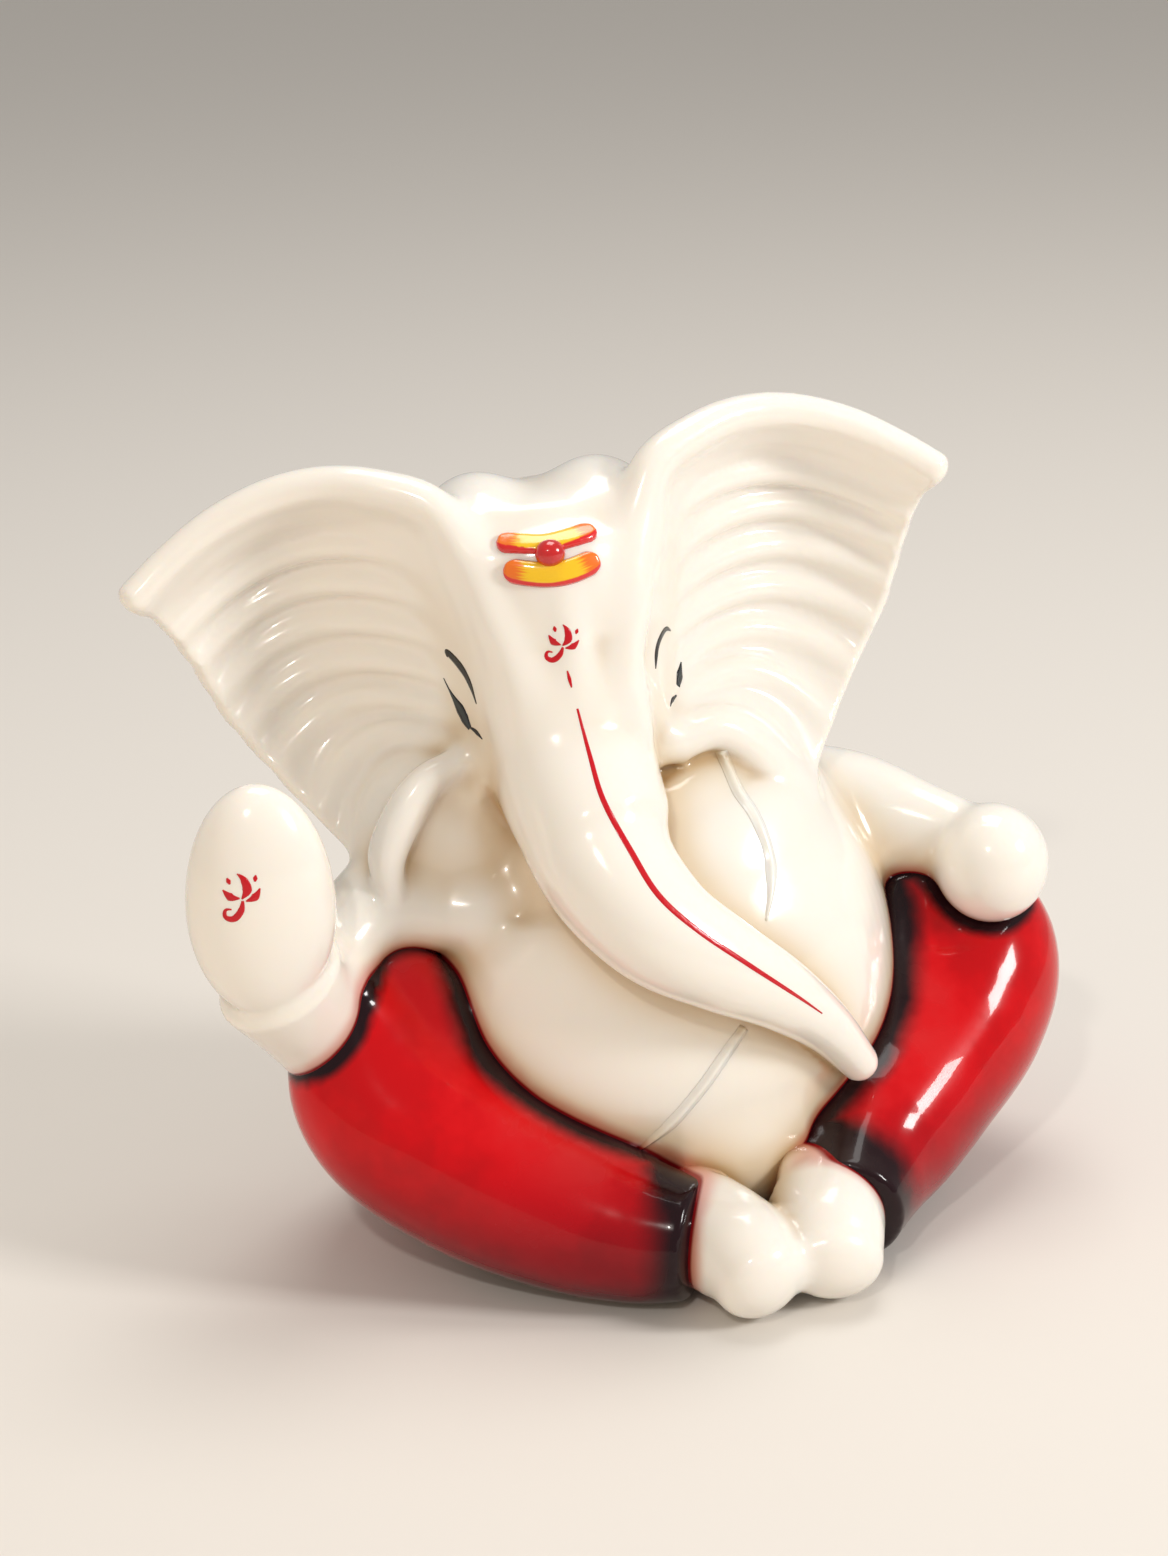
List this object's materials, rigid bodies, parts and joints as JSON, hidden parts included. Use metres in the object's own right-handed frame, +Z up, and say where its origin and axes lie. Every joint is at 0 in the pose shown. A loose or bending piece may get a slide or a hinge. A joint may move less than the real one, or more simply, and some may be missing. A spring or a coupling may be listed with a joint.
{
  "type": "seated ganesha idol",
  "caption": "Seated glazed ceramic elephant-headed idol with fan ears, curled trunk, raised palm, red wrap legs and a yellow brow mark.",
  "frame": {"origin": "on the table, under the belly, in the flat underside of the torso casting in front of its vent stopper", "axes": "+Z up, the idol faces -Y, its own left hand is on the +X side"},
  "size_m": [0.2486, 0.1595, 0.2222],
  "materials": {
    "ivory_glaze": "gloss",
    "red_lacquer": "gloss",
    "yellow_enamel": "gloss",
    "red_enamel": "gloss",
    "soft_stopper": "matte"
  },
  "bodies": {
    "root": {"torso": "ivory_glaze", "head": "ivory_glaze", "right_ear": "ivory_glaze", "left_ear": "ivory_glaze", "right_arm": "ivory_glaze", "left_arm": "ivory_glaze", "raised_right_hand": "ivory_glaze", "resting_left_hand": "ivory_glaze", "right_foot": "ivory_glaze", "left_foot": "ivory_glaze", "cord_on_chest": "ivory_glaze", "cord_on_belly": "ivory_glaze", "hip_wrap": "red_lacquer", "right_leg": "red_lacquer", "left_leg": "red_lacquer", "tilak_upper_bar": "yellow_enamel", "tilak_lower_bar": "yellow_enamel", "tilak_dot": "red_enamel", "vent_stopper": "soft_stopper"}
  },
  "joints": []
}
